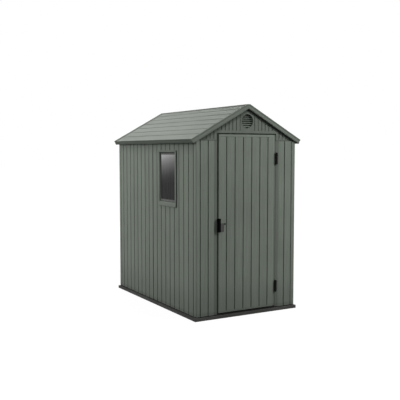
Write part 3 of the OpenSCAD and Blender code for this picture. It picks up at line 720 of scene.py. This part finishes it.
def add_door_seals(black_fill):
    """A grey bead on the door stops, round the leaf, and a black lip under the leaf: seals, whose
    dark colours also paint shade into the door's gaps.
    """
    inset = 12 * MM
    half_circle = [math.pi * i / 8 for i in range(9)]
    bead = [(2.6 * MM * math.cos(a), 3.2 * MM * math.sin(a)) for a in half_circle]
    stop_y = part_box("door_stops")[0].y
    x, foot, top = jamb_in - inset, deck_z + 1 * MM, leaf_high.z - 4 * MM
    route = (
        (-x, foot, RIGHT), (-x, top, RIGHT + DOWN), (x, top, LEFT + DOWN), (x, foot, LEFT)
    )
    bm = bmesh.new()
    sweep(bm, bead, [(Vector((u, stop_y, w)), aside, FRONT) for u, w, aside in route])
    grey = soft_rubber("seal_grey_and_shade", DOOR_SEAL_AND_SHADE)
    new_piece("door_seal", bm, "shed", grey)

    lip = mm((0, 0), (5, 0), (5, 2), (3.6, 5), (1.4, 5), (0, 2))
    y = leaf_low.y + 5 * MM
    bm = bmesh.new()
    sweep(bm, lip, [
        (Vector((end, y, leaf_low.z)), BACK, DOWN)
        for end in (leaf_low.x + 2 * MM, leaf_high.x - 2 * MM)
    ])
    new_piece("door_foot_seal", bm, "door", black_fill)


def add_jamb_trim():
    """A cove from the front wall down to the lowered jamb at the hinges, and a strip in the
    hinge gap, clear of the hinges."""
    jamb_out = -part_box("jamb_left")[0].x
    cove = mm((0, 0.3), (4, 1.2), (9, 4.0), (14, 6.9), (0, 6.9))
    bm = bmesh.new()
    sweep(bm, cove, [
        (Vector((jamb_out, -wall_y, z)), LEFT, BACK) for z in (deck_z, wall_top - 1 * MM)
    ])
    new_piece("jamb_cove", bm, "shed", resin("resin_cove", COVE, Z))

    strip = mm((0, 0), (5, 1.5), (5, 3.5), (0, 5))
    strip_y = 8 * MM - wall_y
    clear = 2 * MM
    ends = [deck_z]
    for name in ("hinge_lower_frame", "hinge_upper_frame"):
        low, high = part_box(name)
        ends += [low.z - clear, high.z + clear]
    ends.append(wall_top)
    bm = bmesh.new()
    for z0, z1 in zip(ends[::2], ends[1::2]):
        sweep(bm, strip, [
            (Vector((jamb_in, strip_y, z)), LEFT, BACK) for z in (z0, z1)
        ])
    new_piece("hinge_gap_strip", bm, "shed", resin("resin_strip", JAMB, Z))


def add_wall_ring(name, low, high, section, widths, height, material):
    """A closed ring on the left wall, round the Y and Z of the box from low to high.
    section: its first numbers are shares of the ring's width, and its second ones are in
    millimetres. widths: at the sides, foot and top. height: its place off the wall."""
    side, foot, top = widths
    corners = (
        (low.y, low.z, -side, -foot), (high.y, low.z, side, -foot),
        (high.y, high.z, side, top), (low.y, high.z, -side, top),
    )
    bm = bmesh.new()
    sweep(bm, [(u, v * MM) for u, v in section], [
        (Vector((-wall_x - height, y, z)), Vector((0.0, u, w)), LEFT)
        for y, z, u, w in corners
    ], closed=True)
    new_piece(name, bm, "shed", material)


def add_window_trim():
    """A resin chamfer between surround and frame, a black ring of painted shade on the frame's
    face, a bead round the pane, a dark line of painted shade round the surround's outside and a
    flat rim on its face, with painted shade along its top."""
    surround_out = -side_low.x - wall_x
    sides, ends = 10 * MM, 6 * MM
    shade_width = 1.6 * MM
    chamfer_top = (surround_out - FRAME_OUT) / MM - 0.3
    add_wall_ring(
        "window_chamfer", window_low, window_high,
        section=[(0, 0), (0, chamfer_top), (-1, 0)],
        widths=(sides, ends, ends), height=FRAME_OUT,
        material=resin("resin_chamfer", RESIN, Z, darken_low=False),
    )
    inset = Vector((0.0, sides, ends))
    # Painted shade: a black ring on the frame's face, for the shade in the window's reveal
    add_wall_ring(
        "window_reveal_shade", window_low + inset, window_high - inset,
        section=[(0, 0), (0, 1.6), (-0.7, 2.2), (-1, 1.2), (-1, 0)],
        widths=(8 * MM, 2.5 * MM, 5 * MM), height=FRAME_OUT,
        material=soft_rubber("reveal_shade_black", SHADE_BLACK),
    )
    pane_low, pane_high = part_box("window_pane")
    add_wall_ring(
        "glazing_bead", pane_low, pane_high,
        section=[(0, 0), (0, 4.6), (-0.4, 4.6), (-1, 1.5), (-1, 0)],
        widths=(3 * MM, 9 * MM, 7 * MM), height=-(pane_low.x + wall_x),
        material=satin("bead_resin", WINDOW_FRAME, rough=0.5, gloss=0.1),
    )
    # Painted shade: a dark line round the outside of the surround
    add_wall_ring(
        "window_shade_line", window_low - Vector((0.0, SURROUND_SIDE, SURROUND_SILL)),
        window_high + Vector((0.0, SURROUND_SIDE, SURROUND_TOP)),
        section=[(0, 0), (1, 0), (0.7, 3.5), (0.1, 4)],
        widths=(shade_width, shade_width, shade_width), height=0.0,
        material=soft_rubber("window_shade_line", WINDOW_SHADE_LINE, rough=0.6, gloss=0.06),
    )
    # Painted shade along the top of the surround's rim
    head = ShadeFilm(UP, start=window_high.z - 8 * MM, full=window_high.z + 1 * MM, amount=0.28)
    add_wall_ring(
        "window_trim", window_low, window_high,
        section=[(0, 0), (0, 1.6), (0.85, 1.9), (1, 1.2), (1, 0)],
        widths=(20 * MM, 26 * MM, 16 * MM), height=surround_out,
        material=resin("resin_trim", RESIN, Z, darken_low=False, shade_films=[head]),
    )


def add_hinge_details():
    """Domed pin caps, and screws in the hinge plates."""
    coat = satin("hinge_screw", COATED_SCREW, rough=0.4, gloss=0.12)
    dome = mm((9, 0), (9, 1), (7, 2.2), (3.5, 3), (0, 3.2))
    axis_in, screw_in, plate = 11 * MM, 8 * MM, 3 * MM
    caps, held, swung = bmesh.new(), bmesh.new(), bmesh.new()
    for name in ("hinge_upper_frame", "hinge_lower_frame"):
        low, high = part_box(name)
        for z, direction in ((high.z, UP), (low.z, DOWN)):
            lathe(caps, dome, Vector((low.x + axis_in, low.y + axis_in, z)), direction)
        y = high.y - screw_in
        for share in (0.15, 0.5, 0.85):
            z = low.z + share * (high.z - low.z)
            screw(held, (jamb_in - plate, y, z), LEFT, HINGE_SCREW)
            screw(swung, (leaf_high.x + plate, y, z), RIGHT, HINGE_SCREW)
    new_piece("hinge_pin_caps", caps, "shed", coat)
    new_piece("hinge_screws_frame", held, "shed", coat)
    new_piece("hinge_screws_door", swung, "door", coat)


def add_vent_screens():
    """Insect screens in thin rings, on the back of each vent's sleeve."""
    metal = satin("screen_wire", WIRE, rough=0.6, gloss=0.1)
    radius, pitch, half = 67 * MM, 5 * MM, 0.35 * MM
    near, far = 0.3 * MM, 1.0 * MM
    rim = [
        (radius - 3 * MM, 0.0), (radius - 3 * MM, 2.4 * MM), (radius + 1 * MM, 2.4 * MM),
        (radius + 2 * MM, 1.6 * MM), (radius + 2 * MM, 0.0),
    ]
    count = int(radius / pitch)
    for name, side, inward in (("vent_front", -1, BACK), ("vent_rear", 1, FRONT)):
        low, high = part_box(name)
        middle = (low.z + high.z) / 2
        back = high.y if side < 0 else low.y
        bm = bmesh.new()
        lathe(bm, rim, Vector((0.0, back, middle)), inward, steps=48)
        ys = (back - side * near, back - side * far)
        for i in range(-count, count + 1):
            u = i * pitch
            wire = (u - half, u + half)
            reach = math.sqrt(radius * radius - u * u) - 1 * MM
            block(bm, wire, ys, (middle - reach, middle + reach))
            block(bm, (-reach, reach), ys, (middle + wire[0], middle + wire[1]))
        new_piece(name + "_screen", bm, "shed", metal)


def add_beam_brackets(zinc):
    """Steel angles that hold the ridge beam to the gables, with a screw in each leg."""
    ridge_low, ridge_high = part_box("ridge_beam")
    thick, leg, hole = 2.5 * MM, 34 * MM, 20 * MM
    zs = (ridge_low.z + 2 * MM, ridge_low.z + 30 * MM)
    z = zs[0] + 14 * MM
    bm = bmesh.new()
    for side, end, inward in ((-1, ridge_low.y, BACK), (1, ridge_high.y, FRONT)):
        for across, outward in ((-1, LEFT), (1, RIGHT)):
            x = across * ridge_high.x
            face_x, face_y = x + across * thick, end - side * thick
            block(bm, (x, face_x), (end, end - side * leg), zs)
            block(bm, (face_x, x + across * leg), (end, face_y), zs)
            screw(bm, (face_x, end - side * hole, z), outward, BRACKET_SCREW)
            screw(bm, (x + across * hole, face_y, z), inward, BRACKET_SCREW)
    new_piece("beam_brackets", bm, "shed", zinc, edge=0.4 * MM)


def add_inside_screws(zinc):
    """Screws inside, at the posts, the walls' and the floor's seams and the threshold."""
    inner_x, inner_y = wall_x - WALL_T, wall_y - WALL_T
    at_post, at_seam, at_floor_seam, at_corner = 66 * MM, 16 * MM, 18 * MM, 62 * MM
    bm = bmesh.new()
    for z in (0.16, 0.60, 1.04, 1.48):
        for across, inward in ((-1, RIGHT), (1, LEFT)):
            for y in (
                at_post - wall_y, wall_y - at_post, SIDE_SEAM - at_seam, SIDE_SEAM + at_seam
            ):
                screw(bm, (across * inner_x, y, z), inward, PANEL_SCREW)
            for x in (wall_x - at_corner, at_seam):
                screw(bm, (across * x, inner_y, z), FRONT, PANEL_SCREW)
    for x in (-0.42, -0.14, 0.14, 0.42):
        for y in (SIDE_SEAM - at_floor_seam, SIDE_SEAM + at_floor_seam):
            screw(bm, (x, y, deck_z), UP, FLOOR_SCREW)
    sill_low, sill_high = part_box("threshold")
    for x in (-0.25, 0.0, 0.25):
        screw(bm, (x, sill_low.y + 5 * MM, sill_high.z), UP, SILL_SCREW)
    new_piece("inside_screws", bm, "shed", zinc)


def add_door_fittings():
    """Inside of the door: the lock's rosette and the lock plate's screws."""
    low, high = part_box("key_cylinder")
    key = Vector(((low.x + high.x) / 2, leaf_high.y, (low.z + high.z) / 2))
    rosette = mm(
        (17, 0), (17, 1.2), (15.5, 2.6), (9.5, 3.4), (9, 6.5), (8, 7.5), (0, 7.5)
    )
    bm = bmesh.new()
    lathe(bm, rosette, key, BACK, steps=32)
    black = satin("rosette", BLACK, rough=0.4, gloss=0.15)
    new_piece("lock_rosette", bm, "door", black)

    low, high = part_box("lock_plate")
    from_end = 14 * MM
    bm = bmesh.new()
    for z in (low.z + from_end, high.z - from_end):
        screw(bm, ((low.x + high.x) / 2, leaf_high.y, z), BACK, PLATE_SCREW)
    new_piece("door_screws", bm, "door", galvanised("zinc_door"))


def make_floor():
    """The studio floor: white to the eye, with the object's soft shadow."""
    mesh = bpy.data.meshes.new("studio_floor")
    corners = [
        (u * FLOOR_HALF, v * FLOOR_HALF, 0) for u, v in ((-1, -1), (1, -1), (1, 1), (-1, 1))
    ]
    mesh.from_pydata(corners, [], [(0, 1, 2, 3)])
    floor = bpy.data.objects.new("studio_floor", mesh)
    bpy.context.scene.collection.objects.link(floor)
    g = Material("studio_floor")
    from_middle = g.vector("LENGTH", g.place())
    level = g.remap(from_middle, GLOW_START, GLOW_END, GLOW_NEAR, 1.0)
    g.finish(
        Base_Color=rgba(FLOOR), Roughness=1.0, Specular_IOR_Level=0.0,
        Emission_Color=WHITE, Emission_Strength=g.times(g.looked_at(), level),
    )
    mesh.materials.append(g.material)


def make_light():
    """A dim studio dome, brightest overhead and white to the eye, and four wide lamps."""
    world = bpy.data.worlds.new("studio")
    bpy.context.scene.world = world
    world.use_nodes = True
    world.node_tree.nodes.clear()
    g = Graph(world.node_tree)
    up = g.split(g.add("TexCoord").outputs["Generated"])[Z]
    level = g.add("MapRange", Value=up, To_Min=DOME_LOW, To_Max=DOME_HIGH).outputs["Result"]
    dome = g.add("Background", Color=WHITE, Strength=level).outputs[0]
    white = g.add("Background", Color=WHITE, Strength=1.0).outputs[0]
    shown = g.add("MixShader", _0=g.looked_at(), _1=dome, _2=white).outputs[0]
    g.add("OutputWorld", Surface=shown)
    for lamp in LAMPS:
        add_lamp(*lamp)


def add_lamp(name, power, width, place):
    """A round studio lamp that points at the middle of the object."""
    lamp = bpy.data.lights.new(name, "AREA")
    lamp.shape = "DISK"
    lamp.energy = power
    lamp.size = width
    item = bpy.data.objects.new(name, lamp)
    item.location = place
    aim = Vector(LAMP_AIM) - item.location
    item.rotation_euler = aim.to_track_quat("-Z", "Y").to_euler()
    item.visible_camera = False
    bpy.context.scene.collection.objects.link(item)


def make_camera():
    """The photograph's viewing angle."""
    camera = bpy.data.cameras.new("camera")
    camera.sensor_width = SENSOR
    camera.lens = LENS
    camera.clip_end = 200.0
    item = bpy.data.objects.new("camera", camera)
    item.location = CAMERA_PLACE
    item.rotation_euler = (math.radians(90 - CAMERA_DOWN), 0.0, math.radians(-CAMERA_TURN))
    bpy.context.scene.collection.objects.link(item)
    bpy.context.scene.camera = item


dress_walls()
dress_door()
dress_roof()
dress_floor()
dress_window()
# Near-black: painted shade on the gables' strips, and the door's foot seal, which also paints the
# shade under the leaf
shade_and_seal_black = soft_rubber("shade_and_seal_black", SHADE_BLACK)
add_gable_seals(shade_and_seal_black)
add_door_seals(shade_and_seal_black)
add_jamb_trim()
add_window_trim()
add_hinge_details()
add_vent_screens()
fixing_zinc = galvanised("zinc_fixings")
add_beam_brackets(fixing_zinc)
add_inside_screws(fixing_zinc)
add_door_fittings()
make_floor()
make_light()
make_camera()
bpy.context.scene.view_settings.view_transform = "Standard"
